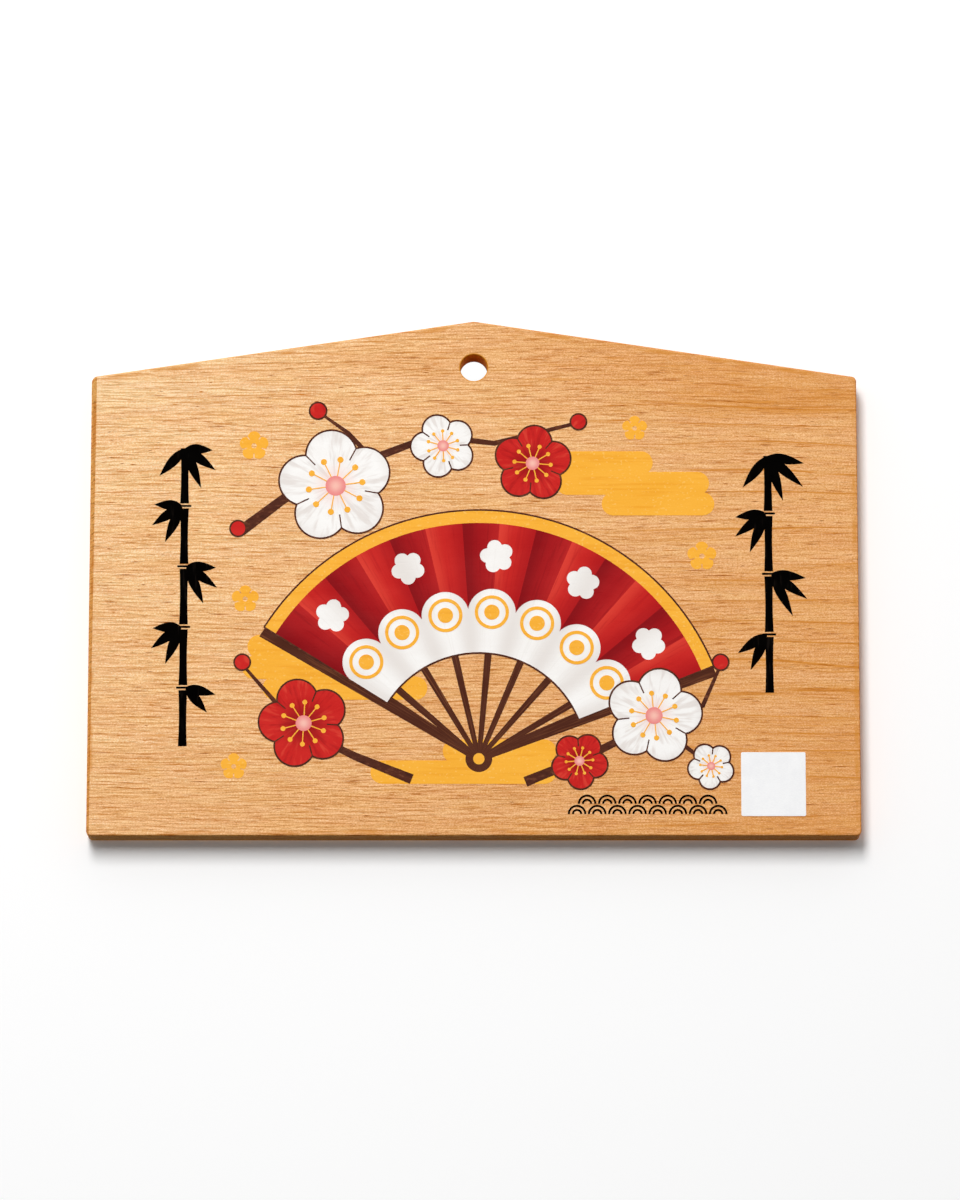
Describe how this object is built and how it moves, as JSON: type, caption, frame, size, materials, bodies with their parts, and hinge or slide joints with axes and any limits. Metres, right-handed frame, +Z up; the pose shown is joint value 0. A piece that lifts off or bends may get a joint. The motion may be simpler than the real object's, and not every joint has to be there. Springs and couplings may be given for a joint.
{
  "type": "ema plaque",
  "caption": "Small wooden votive plaque with a low roof-shaped top, a cord hole under the peak, a fan and plum blossom print on the front and a blank white patch.",
  "frame": {"origin": "on the axis of the cord hole, half way through the board", "axes": "+Z up towards the peak, +X to the right of someone who looks at the printed front, -Y out of the front"},
  "size_m": [0.15, 0.0071, 0.102],
  "materials": {
    "wood": "bare, planed and finely sanded, straight horizontal grain",
    "white_paper": "matt, blank",
    "white_ink": "satin cured ink film",
    "red_ink": "satin cured ink film",
    "dark_red_ink": "satin cured ink film",
    "gold_ink": "satin cured ink film",
    "brown_ink": "satin cured ink film",
    "pink_ink": "satin cured ink film",
    "black_ink": "satin cured ink film"
  },
  "bodies": {
    "root": {"board": "wood", "white_label": "white_paper", "white_underprint": "white_ink", "fan_ribs": "brown_ink", "plum_branches": "brown_ink", "gold_clouds": "gold_ink", "gold_flowers": "gold_ink", "left_bamboo": "black_ink", "right_bamboo": "black_ink", "wave_row": "black_ink", "fan_light_pleats": "red_ink", "fan_dark_pleats": "dark_red_ink", "fan_gold_trim": "gold_ink", "brown_key_lines": "brown_ink", "red_petals": "red_ink", "pink_hearts": "pink_ink", "gold_stamens": "gold_ink"}
  },
  "joints": []
}
